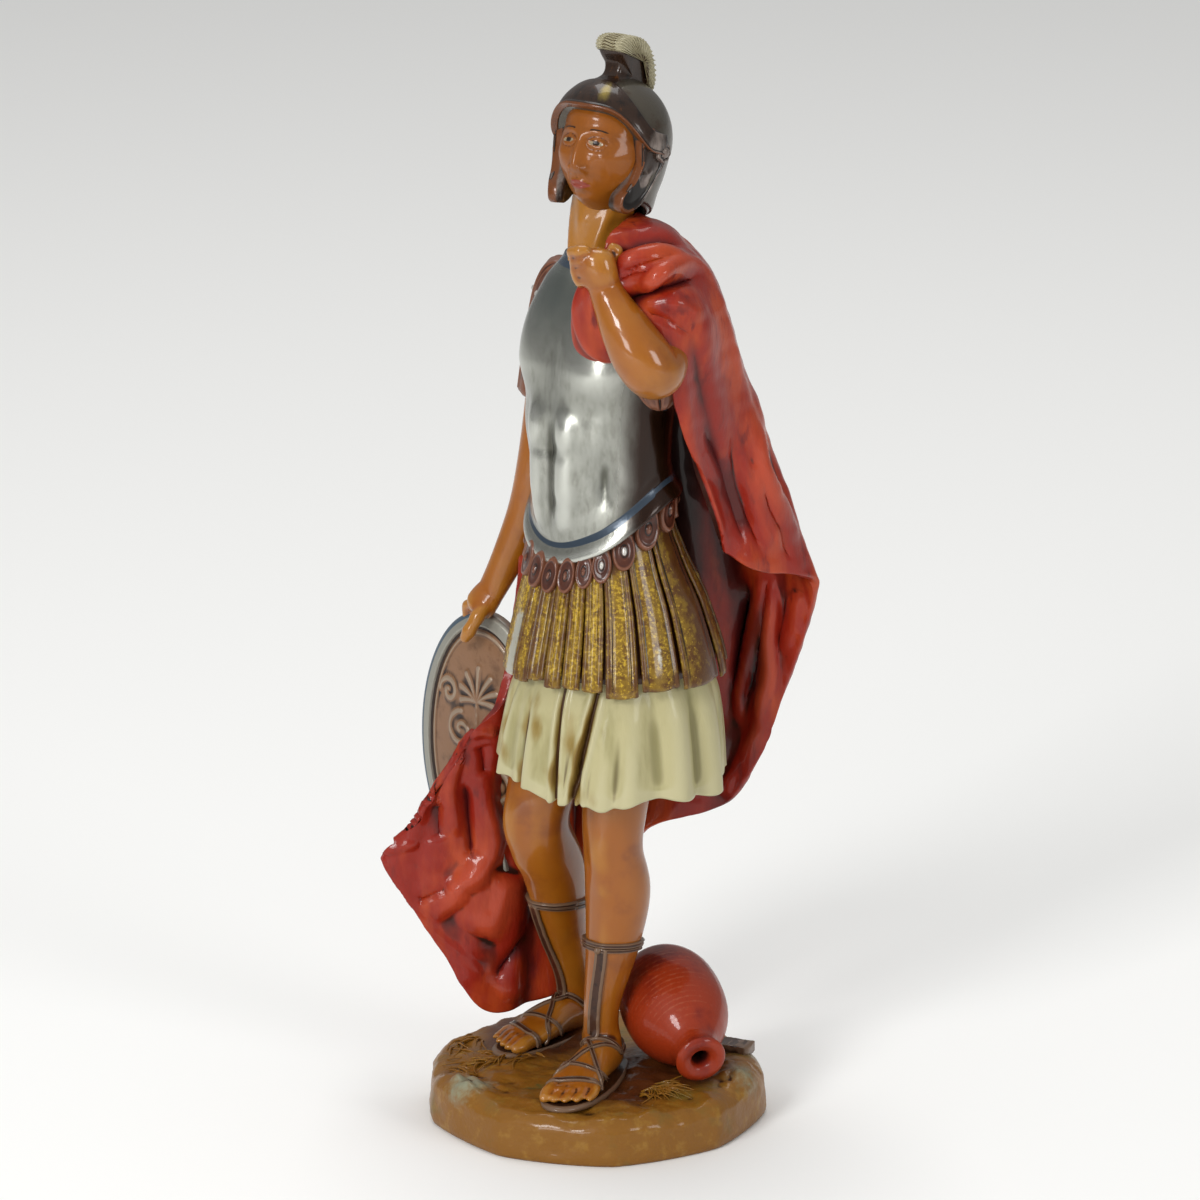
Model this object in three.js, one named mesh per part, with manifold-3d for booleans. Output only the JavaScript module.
// A painted cast figurine of a Roman soldier standing on a round patch of rocky ground, with a jug beside
// his feet. He holds his cloak at the chest with one hand and the rim of an oval shield with the other.
// It is one casting. Millimetres, +Z up. The ground's front faces -Y, and the origin is on its underside.
import * as THREE from "three";
import Module from "manifold-3d";

const wasm = await Module();
wasm.setup();

// Driving dimensions
const STATUE_HEIGHT = 300; // underside of the ground to the top of the crest
const GROUND_RADIUS = 47; // the patch of ground is nearly round
const GROUND_HEIGHT = 13; // its flat top
const GROUND_CHAMFER = 3.4;
const CLOAK_THICKNESS = 2.6;
const SHIELD_HALF_WIDTH = 23.5;
const SHIELD_HALF_HEIGHT = 38;
const SHIELD_THICKNESS = 2.4;
const SHIELD_DOME = 3.5; // how far the middle stands before the rim
const SHIELD_RIM_WIDTH = 4.2;
const SHIELD_RIM_RISE = 1.2;
const JUG_LENGTH = 46;
const JUG_RADIUS = 14.3; // at the belly
const JUG_NECK_RADIUS = 5.9;
const JUG_MOUTH_RADIUS = 7.6;
const JUG_BORE_RADIUS = 2.6; // the hole in the mouth
const JUG_BORE_DEPTH = 9;
const BOARD_SIZE = [16, 7, 3.2];
const SOLE_THICKNESS = 1.3;
const STRIP_COUNT = 24; // leather strips of the kilt, all the way round
const STRIP_GROOVE = 1.3; // depth of the groove between two strips
const CREST_WIDTH = 9;

// The figure was drawn for a statue of this height on ground of this height, and its pose and carving grow
// with it
const DRAWN_HEIGHT = 300;
const DRAWN_GROUND = 13;
const GROWTH = (STATUE_HEIGHT - GROUND_HEIGHT) / (DRAWN_HEIGHT - DRAWN_GROUND);
const onFigure = ({ x, y, z }) =>
  new THREE.Vector3(x * GROWTH, y * GROWTH, GROUND_HEIGHT + (z - DRAWN_GROUND) * GROWTH);
const asDrawn = (size) => size / GROWTH; // for a thickness that doesn't grow with the figure

const radians = THREE.MathUtils.degToRad;
const clamp = THREE.MathUtils.clamp;
const smooth = THREE.MathUtils.smoothstep;
const bell = (x, centre, width) => Math.exp(-(((x - centre) / width) ** 2));
const count = (n, make) => Array.from({ length: n }, (_, i) => make(i));
const vector = (row) => new THREE.Vector3(...row);
const UP = vector([0, 0, 1]);

// A row of numbers on the Catmull-Rom curve through the given rows, t from 0 to 1
function along(rows, t) {
  const place = clamp(t, 0, 1) * (rows.length - 1);
  const i = Math.min(Math.floor(place), rows.length - 2);
  const f = place - i;
  const row = (k) => rows[clamp(k, 0, rows.length - 1)];
  return rows[i].map((_, k) => {
    const [p, q, r, s] = [row(i - 1)[k], row(i)[k], row(i + 1)[k], row(i + 2)[k]];
    const bend = 2 * p - 5 * q + 4 * r - s + (3 * (q - r) + s - p) * f;
    return q + (f / 2) * (r - p + f * bend);
  });
}

// How far along an upright or hanging row of stations a height is
function shareAt(stations, z) {
  const rising = stations.at(-1)[2] > stations[0][2];
  const next = stations.findIndex((row) => (rising ? row[2] > z : row[2] < z));
  if (next < 1) return next < 0 ? 1 : 0;
  const [from, to] = [stations[next - 1][2], stations[next][2]];
  return (next - 1 + (z - from) / (to - from)) / (stations.length - 1);
}

// A level direction that is turned this many degrees from -Y towards -X, and the one at its left hand
const facing = (turn) => vector([-Math.sin(radians(turn)), -Math.cos(radians(turn)), 0]);
const leftOf = (front) => vector([-front.y, front.x, 0]);
// Angles round a body, closer together in front
const frontwards = (k, around) => (k / around) * Math.PI * 2 + 0.5 * Math.cos((k / around) * Math.PI * 2);
// Degrees between an angle round the body and the middle of its front
const offFront = (angle) => Math.abs(((((angle - 90) % 360) + 540) % 360) - 180);

// A closed shell from rings of points, rows of the same length, capped by a point at each end
function ringed(rings) {
  const n = rings[0].length;
  const centre = (ring) => ring.reduce((sum, p) => sum.add(p), vector([0, 0, 0])).divideScalar(n);
  const points = [...rings.flat(), centre(rings[0]), centre(rings.at(-1))];
  const faces = [];
  for (let k = 0; k < n; k++) {
    const next = (k + 1) % n;
    faces.push([rings.length * n, next, k]);
    for (let i = 0; i < rings.length - 1; i++) {
      const [a, b, c, d] = [i * n + k, i * n + next, (i + 1) * n + next, (i + 1) * n + k];
      faces.push([a, b, c], [a, c, d]);
    }
    faces.push([rings.length * n + 1, (rings.length - 1) * n + k, (rings.length - 1) * n + next]);
  }
  return { points, faces };
}
// A closed shell between two grids of the same size
function between(front, back, columns, rows) {
  const size = front.length;
  const at = (i, j) => i * (rows + 1) + j;
  const faces = [];
  const quad = (a, b, c, d) => faces.push([a, b, c], [a, c, d]);
  for (let i = 0; i < columns; i++)
    for (let j = 0; j < rows; j++) {
      quad(at(i, j), at(i, j + 1), at(i + 1, j + 1), at(i + 1, j));
      quad(size + at(i, j), size + at(i + 1, j), size + at(i + 1, j + 1), size + at(i, j + 1));
    }
  for (let i = 0; i < columns; i++) {
    quad(at(i, 0), at(i + 1, 0), size + at(i + 1, 0), size + at(i, 0));
    quad(at(i + 1, rows), at(i, rows), size + at(i, rows), size + at(i + 1, rows));
  }
  for (let j = 0; j < rows; j++) {
    quad(at(0, j + 1), at(0, j), size + at(0, j), size + at(0, j + 1));
    quad(at(columns, j), at(columns, j + 1), size + at(columns, j + 1), size + at(columns, j));
  }
  return { points: [...front, ...back], faces };
}
// A three.js geometry as a shell, its shared points merged and its folded faces dropped
function fromGeometry(geometry) {
  const at = geometry.attributes.position;
  const seen = new Map();
  const points = [];
  const names = count(at.count, (i) => {
    const p = new THREE.Vector3().fromBufferAttribute(at, i);
    const key = [p.x, p.y, p.z].map((v) => v.toFixed(3)).join();
    if (!seen.has(key)) seen.set(key, points.push(p) - 1);
    return seen.get(key);
  });
  const faces = [];
  for (let i = 0; i < geometry.index.count; i += 3) {
    const face = [0, 1, 2].map((k) => names[geometry.index.getX(i + k)]);
    if (new Set(face).size === 3) faces.push(face);
  }
  return { points, faces };
}
// The solid inside a shell, its faces turned outwards, with each point put where `place` says
function solid({ points, faces }, place) {
  const made = new wasm.Manifold(
    new wasm.Mesh({
      numProp: 3,
      vertProperties: new Float32Array(points.map(place).flatMap((p) => [p.x, p.y, p.z])),
      triVerts: new Uint32Array(faces.flat()),
    }),
  );
  return made.volume() < 0 ? solid({ points, faces: faces.map(([a, b, c]) => [a, c, b]) }, place) : made;
}

// A limb: rings round a curve. A station is [x, y, z, half width, half depth, turn], and a section's
// depth points where the turn says, or along `up`. relief(angle, t) stands out from it, and an end can be
// rounded.
function limb(stations, { around, rings, relief = () => 0, up = null, round = [0, 0], steps = [] }) {
  if (rings) steps.push(...count(rings, (i) => i / (rings - 1)));
  if (round[0]) steps.push(round[0] * 0.35);
  if (round[1]) steps.push(1 - round[1] * 0.35);
  steps.sort((a, b) => a - b);
  const end = (d, size) => (size && d < size ? Math.sqrt(Math.max(1 - (1 - d / size) ** 2, 0.06)) : 1);
  return ringed(
    steps.map((t) => {
      const [x, y, z, width, depth, turn] = along(stations, t);
      const path = (share) => vector(along(stations, share).slice(0, 3));
      const ahead = path(t + 0.01).sub(path(t - 0.01)).normalize();
      const front = up ? up.clone() : facing(turn);
      front.addScaledVector(ahead, -front.dot(ahead)).normalize();
      const side = new THREE.Vector3().crossVectors(front, ahead);
      const shrink = end(t, round[0]) * end(1 - t, round[1]);
      return count(around, (k) => {
        const angle = (k / around) * 360;
        const [c, s] = [Math.cos(radians(angle)), Math.sin(radians(angle))];
        const stand = relief(angle, t);
        return vector([x, y, z])
          .addScaledVector(side, c * (width + stand) * shrink)
          .addScaledVector(front, s * (depth + stand) * shrink);
      });
    }),
  );
}

// A point on an upright body's skin or off it. An angle of 90 degrees is its front, and 0 its left.
function onSkin(stations, angle, z, out) {
  const [x, y, , width, depth, turn] = along(stations, shareAt(stations, z));
  const front = facing(turn);
  return vector([x, y, z])
    .addScaledVector(leftOf(front), Math.cos(radians(angle)) * (width + out))
    .addScaledVector(front, Math.sin(radians(angle)) * (depth + out));
}

// The trunk in its muscle cuirass
const TRUNK = [
  [2.8, 1.2, 154, 21, 17, 52],
  [2.0, 0.4, 165, 21.4, 17.4, 52],
  [1.3, -0.4, 177, 21.6, 17.4, 51],
  [1.0, -0.6, 189, 22, 17.2, 50],
  [1.2, -0.4, 201, 23, 17.4, 50],
  [1.8, 0, 213, 24, 17.2, 50],
  [2.2, 0.6, 224, 23.2, 15.8, 49],
  [2.0, 1.6, 233, 18.5, 12.6, 48],
  [1.6, 2, 241, 10.5, 9.5, 47],
];
function muscles(angle, z) {
  const off = offFront(angle);
  const chest = 2.6 * bell(off, 34, 26) * bell(z, 219, 8.5);
  const underChest = -1.2 * bell(off, 30, 30) * bell(z, 206, 4);
  const belly = 1.5 * bell(off, 13, 11) * (bell(z, 197, 5) + bell(z, 186, 5) + bell(z, 172, 8));
  const flank = 1.5 * bell(off, 52, 14) * bell(z, 176, 10);
  const middle = -1.2 * bell(off, 0, 7) * smooth(z, 160, 170) * (1 - smooth(z, 226, 236));
  return chest + underChest + belly + flank + middle;
}

// The cuirass ends in a turned rim that dips to a point in front
const CUIRASS_TOP = 241;
const rimHeight = (off) => 172 - 11.5 * Math.exp(-((off / 58) ** 2)) + 7 * smooth(off, 40, 110);
const RIM_PROFILE = [
  [-2.5, -1.8],
  [2.4, -1.8],
  [1.7, 1.2],
  [0.3, 3],
];
function cuirass() {
  const [around, rows] = [26, 10];
  const ring = (put) =>
    count(around, (k) => {
      const angle = THREE.MathUtils.radToDeg(frontwards(k, around));
      return put(angle, rimHeight(offFront(angle)));
    });
  const rim = RIM_PROFILE.map(([out, up]) => ring((angle, z) => onSkin(TRUNK, angle, z + up, out)));
  const wall = count(rows, (i) =>
    ring((angle, low) => {
      const z = low + 6 + ((CUIRASS_TOP - low - 6) * i) / (rows - 1);
      return onSkin(TRUNK, angle, z, muscles(angle, z));
    }),
  );
  return ringed([...rim, ...wall]);
}

// The kilt of leather strips, which are narrower in front than at the sides. Over each strip a round leather
// tongue hangs from under the rim of the cuirass.
const KILT = [
  [2.2, 0.6, 171, 18.5, 15.5, 50],
  [2.8, 0.8, 162, 20.4, 17.6, 50],
  [4.4, 0.9, 146, 25.2, 23.4, 50],
  [6.4, 0.5, 127, 30.6, 29.6, 50],
];
const KILT_HEM = 127;
const STRIP_SHAPE = [
  { share: 0, tongue: 3.6, groove: 1 },
  { share: 0.2, tongue: 7.4, groove: 0 },
  { share: 0.8, tongue: 7.4, groove: 0 },
]; // places across a strip: how far the tongue hangs there, and whether it is in the groove
function stripAngle(strip) {
  const even = (strip / STRIP_COUNT) * 360;
  return even - 11 * Math.sin(radians(even - 90));
}
function kilt() {
  const ring = (put) =>
    count(STRIP_COUNT * STRIP_SHAPE.length, (k) => {
      const place = STRIP_SHAPE[k % STRIP_SHAPE.length];
      const angle = stripAngle(Math.floor(k / STRIP_SHAPE.length) + place.share);
      return put(angle, rimHeight(offFront(angle)), place.tongue, -asDrawn(STRIP_GROOVE) * place.groove);
    });
  return ringed([
    ring((angle, rim) => onSkin(KILT, angle, rim + 2, -3)),
    ring((angle, rim) => onSkin(TRUNK, angle, rim - 1.5, 1.4)),
    ring((angle, rim, tongue) => onSkin(KILT, angle, rim - tongue, 1.6)),
    ring((angle, rim, tongue, groove) => onSkin(KILT, angle, rim - tongue - 0.5, groove)),
    ring((angle, rim, tongue, groove) => onSkin(KILT, angle, KILT_HEM, groove)),
  ]);
}

// The cloth skirt under the kilt, in soft folds that deepen towards its hem
const SKIRT = [
  [5.0, 1.0, 136, 24, 22, 50],
  [4.8, 1.0, 119, 29, 28, 50],
  [4.2, 0.5, 96, 31.5, 30.5, 50],
];
const SKIRT_FOLDS = 10;
const skirtFold = (angle, t) =>
  (0.2 + 1.4 * t) * Math.sin(radians(angle * SKIRT_FOLDS + 60 * Math.sin(radians(angle * 3)) + 25 * t));
const skirtHem = (angle) => 4.5 * bell(angle, 140, 40) + Math.sin(radians(angle * 5));
function skirt() {
  const around = 36;
  const ring = (t, out, up) =>
    count(around, (k) => {
      const angle = (k / around) * 360;
      const z = along(SKIRT, t)[2];
      const p = onSkin(SKIRT, angle, z, skirtFold(angle, t) + out);
      return p.setZ(z + skirtHem(angle) * t ** 3 + up);
    });
  return ringed([ring(0, 0, 0), ring(0.5, 0, 0), ring(1, 0, 0), ring(1, -2.4, 0.6)]);
}

// Legs, from the hip to the ankle. The figure's left leg stands straight, and the right one is bent.
const LEFT_LEG = [
  [7.5, -4, 108, 10.5, 11, 35],
  [4.9, -8, 88, 8.7, 9.4, 30],
  [4.6, -9, 77, 8.0, 8.6, 28],
  [5.8, -8, 65, 8.9, 9.0, 25],
  [4.4, -8, 50, 7.4, 7.6, 22],
  [1.6, -8, 33, 5.0, 5.4, 21],
  [1.4, -7, 22, 4.9, 5.6, 21],
  [2.4, -7, 15, 5.2, 6.6, 21],
];
const RIGHT_LEG = [
  [-10, 8, 108, 10.5, 11, 55],
  [-14.4, 3, 93, 9.3, 9.8, 55],
  [-16.2, 2.4, 81, 8.6, 9.2, 55],
  [-12.2, 9.5, 66, 7.8, 8.6, 50],
  [-9.6, 17, 50, 6.6, 7.2, 48],
  [-6.6, 24, 33, 4.6, 5.0, 45],
  [-5.6, 27, 23, 4.6, 5.2, 43],
  [-5.0, 28, 16, 4.8, 6.0, 43],
];
// A cord is tied round each shin, and a strap runs down its front from the cord to the ankle
const LEFT_CORD = 51;
const RIGHT_CORD = 56;
function leg(stations, cord) {
  const heights = [cord + 1.2, cord + 0.6, cord - 0.6, cord - 1.2];
  const ankle = DRAWN_GROUND + 6;
  return limb(stations, {
    around: 12,
    steps: [...count(8, (i) => i / 7), ...heights.map((z) => shareAt(stations, z))],
    relief: (angle, t) => {
      const z = along(stations, t)[2];
      const strap = angle === 90 && z > ankle && z < cord ? 0.8 : 0;
      return Math.max(strap, Math.abs(z - cord) < 0.9 ? 0.9 : 0);
    },
  });
}

// A sandalled foot, pointing the way that it is turned: sole, foot and five toes. The big toe is on the side
// `big`, 1 for the foot's left and -1 for its right.
const LEFT_FOOT = { ankle: [2.2, -9.5], turn: 21, length: 42, big: -1 };
const RIGHT_FOOT = { ankle: [-5.4, 27], turn: 45, length: 39, big: 1 };
const TOE_SIZES = [2.2, 1.6, 1.5, 1.45, 1.4];
const TOE_REACH = [0.775, 0.775, 0.755, 0.72, 0.675]; // of the foot's length
function onFoot({ ankle, turn }, forward, left, up) {
  const ahead = facing(turn);
  const from = vector([...ankle, DRAWN_GROUND + up]);
  return from.addScaledVector(ahead, forward).addScaledVector(leftOf(ahead), left);
}
function foot(shape) {
  const { length, big } = shape;
  const at = (forward, left, up) => onFoot(shape, forward * length, big * left, up);
  const row = (forward, left, up, ...size) => [...at(forward, left, up).toArray(), ...size];
  const outline = (grow, up) =>
    count(12, (k) => {
      const a = (k / 12) * Math.PI * 2;
      const wide = (0.17 + 0.06 * Math.cos(a)) * length * Math.sin(a) * grow;
      return at(0.27 + 0.515 * Math.cos(a) * grow, wide + 0.03 * length * Math.cos(a), up);
    });
  const sole = ringed([outline(1, -0.6), outline(1.05, asDrawn(SOLE_THICKNESS))]);
  const upper = limb(
    [
      row(-0.2, 0, 4.2, 4.2, 4),
      row(0, 0, 5.4, 5.2, 5.4),
      row(0.2, 0, 5.4, 5.6, 5.2),
      row(0.42, 0.6, 4.2, 6.8, 3.6),
      row(0.62, 0.8, 3.2, 7.6, 2.4),
    ],
    { around: 8, rings: 5, up: UP, round: [0.2, 0] },
  );
  const toes = TOE_SIZES.map((size, i) => {
    const left = 5.4 - i * 2.9;
    const root = row(0.5, left * 0.95, 3, size, size);
    const tip = row(TOE_REACH[i], left, 2.5, size * 0.95, size * 0.9);
    return limb([root, tip], { around: 5, rings: 2, up: UP, round: [0, 0.5] });
  });
  return [sole, upper, ...toes];
}

// Arms, from the shoulder to the wrist
const RIGHT_ARM = [
  [-8.5, 19, 229, 7, 7.5, 60],
  [-10.5, 20, 215, 6.8, 7.2, 60],
  [-12.8, 20, 196, 6.2, 6.6, 60],
  [-15.2, 19, 179, 5.8, 6.4, 60],
  [-18.4, 19, 165, 5.6, 5.8, 60],
  [-24.2, 19.5, 151, 4.6, 4.6, 60],
  [-28.8, 20, 141.5, 4.5, 3.4, 60],
];
const LEFT_ARM = [
  [18, -10, 229, 7.5, 7.5, 0],
  [18, -22, 222, 7.2, 7.2, 0],
  [15.8, -33, 216.5, 7.4, 7.4, 0],
  [12.2, -35, 221, 7.2, 7.2, 0],
  [8.0, -33.5, 228, 5.6, 6, 0],
  [3.6, -31, 236, 4.2, 4.2, 0],
  [1.6, -30, 240.5, 4, 3.8, 0],
];
const arm = (stations) => limb(stations, { around: 9, rings: 8 });
const FINGER_UP = vector([0.3, 0.4, 0.86]);
function finger(points, size) {
  const stations = points.map((p, i) => [...p, size * (1 - 0.08 * i), size * (1 - 0.08 * i)]);
  return limb(stations, { around: 5, rings: points.length, up: FINGER_UP });
}
const palm = (stations, turn) => limb(stations, { around: 8, rings: 3, up: facing(turn), round: [0, 0.5] });
// The left hand is a fist on the cloak's border
function leftHand() {
  const back = palm(
    [
      [1.8, -30, 240, 4.2, 3.4],
      [-0.6, -29.6, 244.4, 5.2, 3.8],
      [-2.4, -28.6, 248, 4.6, 3.2],
    ],
    20,
  );
  const fingers = count(4, (i) => {
    const [x, y, z] = [-5 + i * 0.9, -29 + i * 0.3, 247.6 - i * 2.9];
    return finger([[x + 3.4, y - 2.6, z + 1], [x - 0.6, y - 0.6, z], [x + 1.6, y + 3.2, z - 1.6]], 1.7);
  });
  const thumb = finger([[2.4, -27.6, 244], [4.6, -27.4, 246.6], [5.8, -26.4, 245.2]], 1.9);
  return [back, ...fingers, thumb];
}
// The right hand lies over the top of the shield, its thumb in front and its fingers behind
function rightHand() {
  const back = palm(
    [
      [-28.6, 20, 142, 4.5, 3.4],
      [-31, 20.2, 138.6, 5, 3.6],
      [-33.4, 20.6, 135.6, 4.4, 3.4],
    ],
    60,
  );
  const fingers = count(4, (i) => {
    const [x, y, z] = [-35.4 + i * 2.1, 25.6 - i * 1.6, 135.2 + i * 0.9];
    return finger([[x + 2.4, y - 3.4, z + 1.6], [x + 0.2, y, z + 0.6], [x, y + 1.3, z - 4]], 1.65);
  });
  const thumb = finger([[-29.6, 17.4, 139], [-33.6, 15.6, 133.6], [-36.4, 16.6, 128.6]], 2.2);
  return [back, ...fingers, thumb];
}

// Leather strips hang from the shoulders over the upper arms
const RIGHT_SLEEVE = [
  [-5.5, 16.5, 234, 6, 6, 60],
  [-8.0, 18.5, 228, 8.0, 8.0, 60],
  [-9.8, 20, 218, 8.6, 8.6, 60],
  [-12.2, 20.4, 197, 9.2, 9.2, 60],
];
const LEFT_SLEEVE = [
  [14, -14, 228, 8, 8, 0],
  [15.5, -22, 216, 8.2, 6.5, 0],
  [16.5, -24, 210, 6.2, 4.2, 0],
  [17, -24, 204, 2.2, 1.6, 0],
];
const SLEEVE_STRIPS = 6;
function sleeve(stations) {
  const around = SLEEVE_STRIPS * 2;
  const inGroove = (angle) => Math.round((angle / 360) * around) % 2;
  return limb(stations, {
    around,
    rings: 3,
    relief: (angle, t) => (inGroove(angle) ? -1 : 0.3) * Math.min(t * 2, 1),
  });
}

// The head looks up, over the figure's right. onHead takes x to its left, y to its back and z up.
const HEAD_CENTRE = [3.6, 0, 269.5];
const HEAD_TURN = 40;
const HEAD_TIP = 18;
const HEAD_SIZE = [12, 14.2, 16.8];
const headFrame = new THREE.Matrix4()
  .makeTranslation(...HEAD_CENTRE)
  .multiply(new THREE.Matrix4().makeRotationZ(-radians(HEAD_TURN)))
  .multiply(new THREE.Matrix4().makeRotationX(-radians(HEAD_TIP)));
const onHead = (x, y, z) => vector([x, y, z]).applyMatrix4(headFrame);

// A plain face on the usual proportions: the eyes halfway down the head, the nose halfway from them to the
// chin. out is a unit direction in the head's own frame, with the face towards -Y.
function faceRelief(out) {
  const across = Math.abs(out.x);
  const up = out.z;
  const nose = (0.2 * bell(up, -0.44, 0.13) + 0.13 * bell(up, -0.22, 0.2)) * bell(across, 0, 0.13);
  const eyes = -0.09 * bell(across, 0.36, 0.17) * bell(up, -0.04, 0.13);
  const brow = 0.04 * bell(across, 0.25, 0.3) * bell(up, 0.18, 0.1);
  const mouth = 0.06 * bell(across, 0, 0.22) * bell(up, -0.68, 0.08);
  const chin = 0.13 * bell(across, 0, 0.24) * bell(up, -0.92, 0.13);
  const jaw = 0.07 * bell(across, 0.7, 0.3) * bell(up, -0.6, 0.25);
  return smooth(-out.y, 0.1, 0.5) * (nose + eyes + brow + mouth + chin) + jaw;
}
const HEAD_LEVELS = [-0.99, -0.92, -0.8, -0.68, -0.56, -0.44, -0.3, -0.16, -0.03, 0.12, 0.3, 0.6, 0.95];
function head() {
  const around = 20;
  return ringed(
    HEAD_LEVELS.map((up) =>
      count(around, (k) => {
        const angle = frontwards(k, around);
        const level = Math.sqrt(1 - up ** 2);
        const out = vector([Math.cos(angle) * level, -Math.sin(angle) * level, up]);
        return onHead(...out.clone().multiply(vector(HEAD_SIZE)).multiplyScalar(1 + faceRelief(out)));
      }),
    ),
  );
}
const NECK = [
  [1.2, 1.8, 236, 8.8, 8.8, 45],
  [1.4, 1.6, 245, 8.2, 8.4, 45],
  [2.4, 2, 255, 8, 8.4, 42],
  [4.4, 2.4, 263, 8.4, 9.0, 40],
];

// The helmet: a bowl with a brow band, a guard down the neck, cheek pieces, hinge bosses and a crest on its
// stand
const BOWL = [14.6, 17, 17];
function onBowl(angle, low, grow) {
  return onHead(
    Math.cos(angle) * Math.cos(low) * (BOWL[0] + grow),
    0.6 - Math.sin(angle) * Math.cos(low) * (BOWL[1] + grow),
    2.8 + Math.sin(low) * (BOWL[2] + grow),
  );
}
// The bowl's lower edge is high over the brow
const bowlEdge = (angle) => radians(-3 + 27 * smooth(Math.sin(angle), 0.1, 0.9));
function bowl() {
  const [around, rows] = [18, 5];
  return ringed(
    count(rows, (i) =>
      count(around, (k) => {
        const angle = (k / around) * Math.PI * 2;
        return onBowl(angle, bowlEdge(angle) + (radians(84) - bowlEdge(angle)) * (i / (rows - 1)), 0);
      }),
    ),
  );
}
function browBand() {
  const steps = 9;
  return ringed(
    count(steps, (k) => {
      const angle = radians(-4 + (188 * k) / (steps - 1));
      const low = bowlEdge(angle) - 0.03;
      const top = low + radians(18 + 18 * Math.sin(Math.max(angle, 0)) ** 2);
      const corners = [[low, -1.5], [low, 1.2], [top, 0.8], [top, -1.5]];
      return corners.map(([height, grow]) => onBowl(angle, height, grow));
    }),
  );
}
function neckGuard() {
  const steps = 7;
  return ringed(
    count(steps, (k) => {
      const angle = radians(182 + (176 * k) / (steps - 1));
      const back = Math.sin(angle) ** 2;
      const hem = -12 - 3 * back;
      const ring = (shrink, flare, z) =>
        onHead(
          Math.cos(angle) * (BOWL[0] - shrink),
          0.6 - Math.sin(angle) * (BOWL[1] - shrink + flare * back),
          z,
        );
      return [ring(0.1, 0, 4), ring(0.8, 0, -5), ring(2.4, 1.6, hem), ring(4.8, 1.6, hem), ring(5, 0, 4)];
    }),
  );
}
const CHEEK = [
  [4, 4.5],
  [-9.5, 7],
  [-9.8, 2],
  [-7.4, -2.5],
  [-7.4, -8],
  [-8.6, -12.4],
  [-7.2, -15.8],
  [-4, -16.4],
  [-0.4, -13],
  [2.6, -6],
];
function cheekGuard(left) {
  const layer = (out, shrink) =>
    CHEEK.map(([y, z]) => {
      const spread = 13.8 - 0.16 * Math.max(-z - 2, 0) - 0.05 * Math.max(-y - 3, 0) ** 2;
      return onHead(left * (spread + out), -4 + (y + 4) * shrink, -6 + (z + 6) * shrink);
    });
  return ringed([layer(-3.4, 1), layer(0.5, 1), layer(1.1, 0.8)]);
}
function hingeBoss(left) {
  const radii = [2.6, 2.6, 1.4];
  return ringed(
    [-1, 1.7, 2.3].map((out, i) =>
      count(6, (k) => {
        const a = (k * Math.PI) / 3;
        return onHead(left * (13.8 + out), 2.6 + radii[i] * Math.cos(a), 1.4 + radii[i] * Math.sin(a));
      }),
    ),
  );
}
// The crest's stand and the brush on it are plates drawn from the side, y to the back
function plate(outline, half) {
  const layer = (side) => outline.map(([y, z, share = 1]) => onHead(side * half * share, y, z));
  return ringed([layer(-1), layer(1)]);
}
const CREST_STAND = [
  [-10, 15.5, 0.9],
  [-6.2, 19, 0.6],
  [-6, 22.4, 0.6],
  [-7.8, 26, 0.92],
  [1, 27, 0.9],
  [6.4, 22.5, 0.85],
  [7.6, 18.4, 0.8],
  [9, 13, 0.8],
  [-1, 15, 0.8],
];
const CREST_BRUSH = [
  [-8.4, 25.4],
  [-9, 28.4],
  [-4.4, 30.2],
  [1.8, 29.6],
  [7, 25.4],
  [9.2, 19.8],
  [8.2, 16.4],
  [5.8, 19],
  [4.8, 23],
  [0.4, 26],
];
function helmet() {
  const half = asDrawn(CREST_WIDTH) / 2;
  const sides = [1, -1].flatMap((left) => [cheekGuard(left), hingeBoss(left)]);
  return [bowl(), browBand(), neckGuard(), ...sides, plate(CREST_STAND, half), plate(CREST_BRUSH, half)];
}

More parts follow.
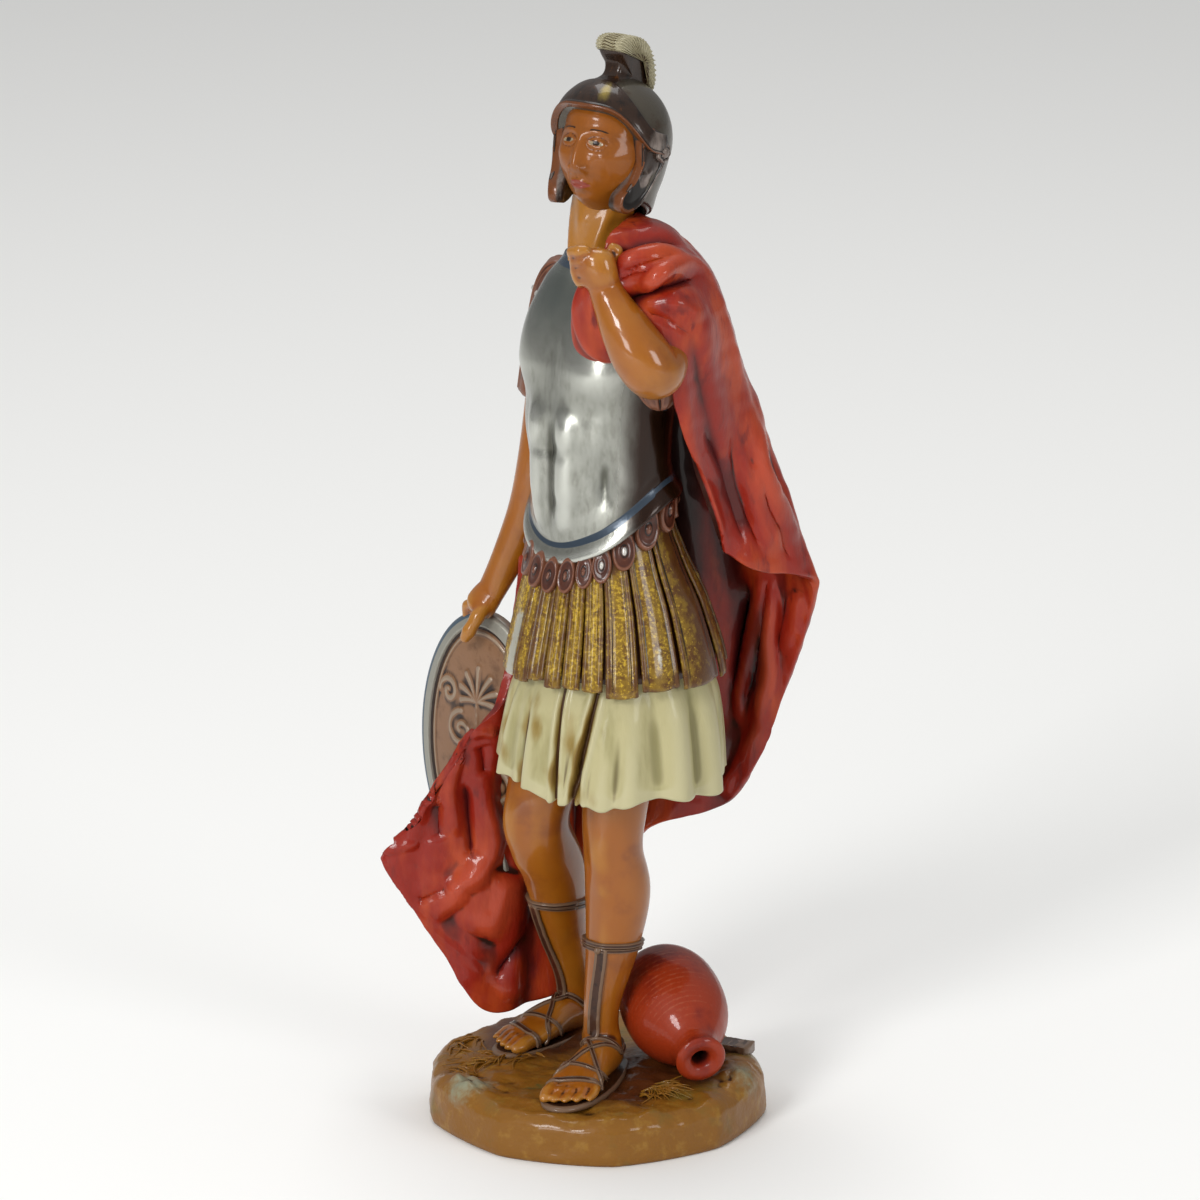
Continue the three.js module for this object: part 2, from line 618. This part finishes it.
// The cloak hangs from the left shoulder, round the elbow and across the back, and blows out beside the right
// leg. Each column runs down the cloth, from its upper edge to its hem.
const CLOAK = [
  [[1, -28, 247], [11.5, -32, 239], [20, -32, 226], [21.5, -26, 206], [27.7, -13, 182], [34, -8, 161]],
  [[3, -24, 250], [15, -32, 243], [27, -28, 228], [30, -20, 206], [36, -8, 178], [43, -3, 154]],
  [[6, -18, 252], [18, -24, 248], [31, -15, 232], [36.5, -8, 207], [45, 0, 178], [55, 6, 150]],
  [[9, -9, 252], [20, -11, 249], [31.5, -3, 232], [39, 4, 207], [49, 10, 177], [60, 13, 143]],
  [[10, 0, 251], [19, 2, 246], [30, 9, 229], [38, 15, 200], [48.5, 18, 160], [52, 20, 114]],
  [[9, 7, 250], [15, 12, 242], [24, 18, 220], [32, 23, 178], [41, 25, 128], [38, 22, 82]],
  [[3, 11, 247], [8, 17, 234], [13, 23, 204], [18, 27, 160], [21, 29, 112], [13.4, 26, 71]],
  [[-4, 17, 232], [-3, 21, 216], [-1, 26, 186], [1, 30, 144], [2, 33, 98], [-4, 31, 42]],
  [[-11, 21, 206], [-11, 24, 190], [-10, 28, 164], [-9, 31, 128], [-9, 32, 84], [-9, 29, 26]],
  [[-17, 18, 172], [-18, 20, 158], [-18, 22, 134], [-18, 22, 102], [-19, 20, 62], [-22, 18, 22]],
  [[-24.6, 10, 119], [-26, 11, 111], [-27.5, 12, 98], [-29, 13.5, 78], [-31, 15, 52], [-33, 15.5, 24]],
  [[-36, 9, 103], [-37, 10, 98], [-38.5, 11, 89], [-40, 12, 75], [-42, 13.5, 58], [-44, 14.5, 43]],
  [[-46, 10, 84], [-47, 11, 81], [-48.5, 12, 76], [-50, 13, 69], [-51.5, 13.5, 62], [-53, 14, 57]],
  [[-53, 13, 73.5], [-54, 13, 73], [-55.5, 13, 72], [-57, 13.5, 70.5], [-58.4, 14, 69], [-59.3, 14, 67.5]],
];
// Each fold runs down the cloth at a place across it that drifts, and swells from `start` on
const CLOAK_FOLDS = [
  { from: 0.1, to: 0.06, width: 0.018, high: 1.8, start: 0 },
  { from: 0.19, to: 0.15, width: 0.022, high: 2.2, start: 0 },
  { from: 0.28, to: 0.3, width: 0.024, high: 2.4, start: 0.1 },
  { from: 0.36, to: 0.4, width: 0.027, high: 2.4, start: 0.2 },
  { from: 0.45, to: 0.5, width: 0.03, high: 2.8, start: 0.1 },
  { from: 0.55, to: 0.59, width: 0.03, high: 2.8, start: 0.2 },
  { from: 0.65, to: 0.67, width: 0.03, high: 2.8, start: 0.1 },
  { from: 0.75, to: 0.745, width: 0.028, high: 2.8, start: 0.2 },
  { from: 0.84, to: 0.82, width: 0.026, high: 2.6, start: 0.2 },
  { from: 0.91, to: 0.9, width: 0.024, high: 2.2, start: 0.1 },
];
const onCloak = (s, t) => vector(along(CLOAK.map((column) => along(column, t)), s));
function cloakFold(s, t) {
  return CLOAK_FOLDS.reduce((sum, { from, to, width, high, start }) => {
    const centre = from + (to - from) * t;
    const swell = high * smooth(t, start, start + 0.35);
    return sum + swell * (bell(s, centre, width) - 0.6 * bell(s, centre + 2 * width, width));
  }, 0);
}
function cloak() {
  const [columns, rows] = [27, 8];
  const step = 0.004;
  const half = asDrawn(CLOAK_THICKNESS) / 2;
  const grid = (side) =>
    count((columns + 1) * (rows + 1), (k) => {
      const [s, t] = [Math.floor(k / (rows + 1)) / columns, (k % (rows + 1)) / rows];
      const across = onCloak(s + step, t).sub(onCloak(s - step, t));
      const down = onCloak(s, t + step).sub(onCloak(s, t - step));
      const out = new THREE.Vector3().crossVectors(down, across).normalize();
      return onCloak(s, t).addScaledVector(out, cloakFold(s, t) + side * half);
    });
  return between(grid(1), grid(-1), columns, rows);
}
// The end of the cloth that hangs out of the fist
const CLOTH_END = [
  [0.5, -27, 242, 3, 3, 20],
  [0.2, -25.5, 234, 5.4, 4, 20],
  [1.0, -24, 226, 8, 4.4, 20],
  [3.0, -22.5, 219, 9.2, 4, 20],
  [4.5, -20.5, 215, 7, 3, 20],
];
const clothEnd = () =>
  limb(CLOTH_END, {
    around: 12,
    rings: 5,
    relief: (angle, t) => Math.sin(radians(angle * 4)) * 0.8 * t,
    round: [0, 0.2],
  });

// The shield: an oval, domed plate with a raised rim, turned to the figure's right
const SHIELD_CENTRE = [-30.3, 22, 97.2];
const SHIELD_TURN = 42;
function shield() {
  const front = facing(SHIELD_TURN);
  const side = leftOf(front);
  const [wide, tall] = [asDrawn(SHIELD_HALF_WIDTH), asDrawn(SHIELD_HALF_HEIGHT)];
  const oval = (inset, push) =>
    count(20, (k) => {
      const a = (k / 20) * Math.PI * 2;
      return vector(SHIELD_CENTRE)
        .addScaledVector(side, Math.cos(a) * (wide - asDrawn(inset)))
        .addScaledVector(front, asDrawn(push))
        .addScaledVector(UP, Math.sin(a) * (tall - asDrawn(inset)));
    });
  const dome = (inset) => SHIELD_DOME * (1 - (1 - inset / SHIELD_HALF_WIDTH) ** 2);
  const middle = SHIELD_HALF_WIDTH / 2;
  return ringed([
    oval(middle, dome(middle) - SHIELD_THICKNESS),
    oval(0, -SHIELD_THICKNESS),
    oval(0, SHIELD_RIM_RISE),
    oval(SHIELD_RIM_WIDTH * 0.8, dome(SHIELD_RIM_WIDTH) + SHIELD_RIM_RISE),
    oval(SHIELD_RIM_WIDTH, dome(SHIELD_RIM_WIDTH)),
    oval(middle, dome(middle)),
  ]);
}

// The jug lies on its side with its mouth to the front
const JUG_MOUTH = [28.6, -25, 9]; // above the ground's top
const JUG_AXIS = vector([0.27, -0.93, -0.25]).normalize();
function jug() {
  // Distances are from the jug's foot, and radii are shares of the belly's up to the shoulder
  const profile = [
    [0, 0],
    [0, JUG_RADIUS * 0.45],
    [0.07 * JUG_LENGTH, JUG_RADIUS * 0.74],
    [0.22 * JUG_LENGTH, JUG_RADIUS * 0.94],
    [0.4 * JUG_LENGTH, JUG_RADIUS],
    [0.57 * JUG_LENGTH, JUG_RADIUS * 0.94],
    [0.72 * JUG_LENGTH, JUG_RADIUS * 0.72],
    [0.83 * JUG_LENGTH, JUG_NECK_RADIUS],
    [0.92 * JUG_LENGTH, JUG_NECK_RADIUS],
    [JUG_LENGTH - 1.5, JUG_MOUTH_RADIUS],
    [JUG_LENGTH, JUG_MOUTH_RADIUS],
    [JUG_LENGTH - 0.4, JUG_MOUTH_RADIUS - 2],
    [JUG_LENGTH - 2.2, JUG_BORE_RADIUS],
    [JUG_LENGTH - JUG_BORE_DEPTH, JUG_BORE_RADIUS * 0.8],
    [JUG_LENGTH - JUG_BORE_DEPTH, 0],
  ];
  const turned = new THREE.LatheGeometry(profile.map(([y, r]) => new THREE.Vector2(r, y)), 16);
  turned.translate(0, -JUG_LENGTH, 0);
  turned.applyQuaternion(new THREE.Quaternion().setFromUnitVectors(vector([0, 1, 0]), JUG_AXIS));
  turned.translate(JUG_MOUTH[0], JUG_MOUTH[1], GROUND_HEIGHT + JUG_MOUTH[2]);
  return fromGeometry(turned);
}

// The ground: a round patch with a broken edge, low rocks and a rise under the jug
function groundRadius(angle) {
  const flats = 0.025 * Math.abs(Math.sin(radians(angle * 4.5 + 20)));
  return GROUND_RADIUS * (1 - flats + 0.012 * Math.sin(radians(angle * 3)));
}
function groundTop(x, y) {
  const rock = 2.2 * bell(x, -33, 7) * bell(y, -22, 7) + 1.6 * bell(x, 39, 6) * bell(y, -10, 9);
  const rise = 1.4 * bell(x, -12, 18) * bell(y, 34, 14) + 2.4 * bell(x, 21, 13) * bell(y, 2, 18);
  return GROUND_HEIGHT + rock + rise + 0.5 * Math.sin(x / 5) * Math.cos(y / 6);
}
function ground() {
  const around = 28;
  const ring = (inset, height, top) =>
    count(around, (k) => {
      const angle = (k / around) * 360;
      const r = groundRadius(angle) - inset;
      const [x, y] = [r * Math.cos(radians(angle)), r * Math.sin(radians(angle))];
      return vector([x, y - 2, top ? groundTop(x, y) + height : height]);
    });
  return ringed([
    ring(1, 0, false),
    ring(0, 2, false),
    ring(0.5, -GROUND_CHAMFER, true),
    ring(GROUND_CHAMFER, 0, true),
    ring(GROUND_RADIUS * 0.3, 0, true),
    ring(GROUND_RADIUS * 0.62, 0, true),
  ]);
}
// A flat board lies on the ground behind the jug
function board() {
  const box = new THREE.BoxGeometry(...BOARD_SIZE);
  box.rotateZ(radians(-24));
  box.translate(35, 9, GROUND_HEIGHT + BOARD_SIZE[2] / 2 - 0.2);
  return fromGeometry(box);
}

function statue() {
  const figure = [
    cuirass(),
    kilt(),
    skirt(),
    leg(LEFT_LEG, LEFT_CORD),
    leg(RIGHT_LEG, RIGHT_CORD),
    ...foot(LEFT_FOOT),
    ...foot(RIGHT_FOOT),
    arm(RIGHT_ARM),
    arm(LEFT_ARM),
    ...leftHand(),
    ...rightHand(),
    sleeve(RIGHT_SLEEVE),
    sleeve(LEFT_SLEEVE),
    limb(NECK, { around: 12, rings: 4 }),
    head(),
    ...helmet(),
    cloak(),
    clothEnd(),
    shield(),
  ].map((shell) => solid(shell, onFigure));
  const scenery = [jug(), board(), ground()].map((shell) => solid(shell, (p) => p));
  const cast = wasm.Manifold.union([...figure, ...scenery]);
  const whole = cast.decompose().reduce((most, body) => (body.volume() > most.volume() ? body : most));
  const { vertProperties, triVerts } = whole.getMesh();
  const geometry = new THREE.BufferGeometry();
  geometry.setAttribute("position", new THREE.BufferAttribute(vertProperties, 3));
  geometry.setIndex(new THREE.BufferAttribute(triVerts, 1));
  const paint = new THREE.MeshStandardMaterial({ color: 0xb5562e, roughness: 0.35, metalness: 0 });
  const mesh = new THREE.Mesh(geometry, paint);
  mesh.name = "statue";
  return mesh;
}

const figurine = new THREE.Group();
figurine.add(statue());
export default figurine;
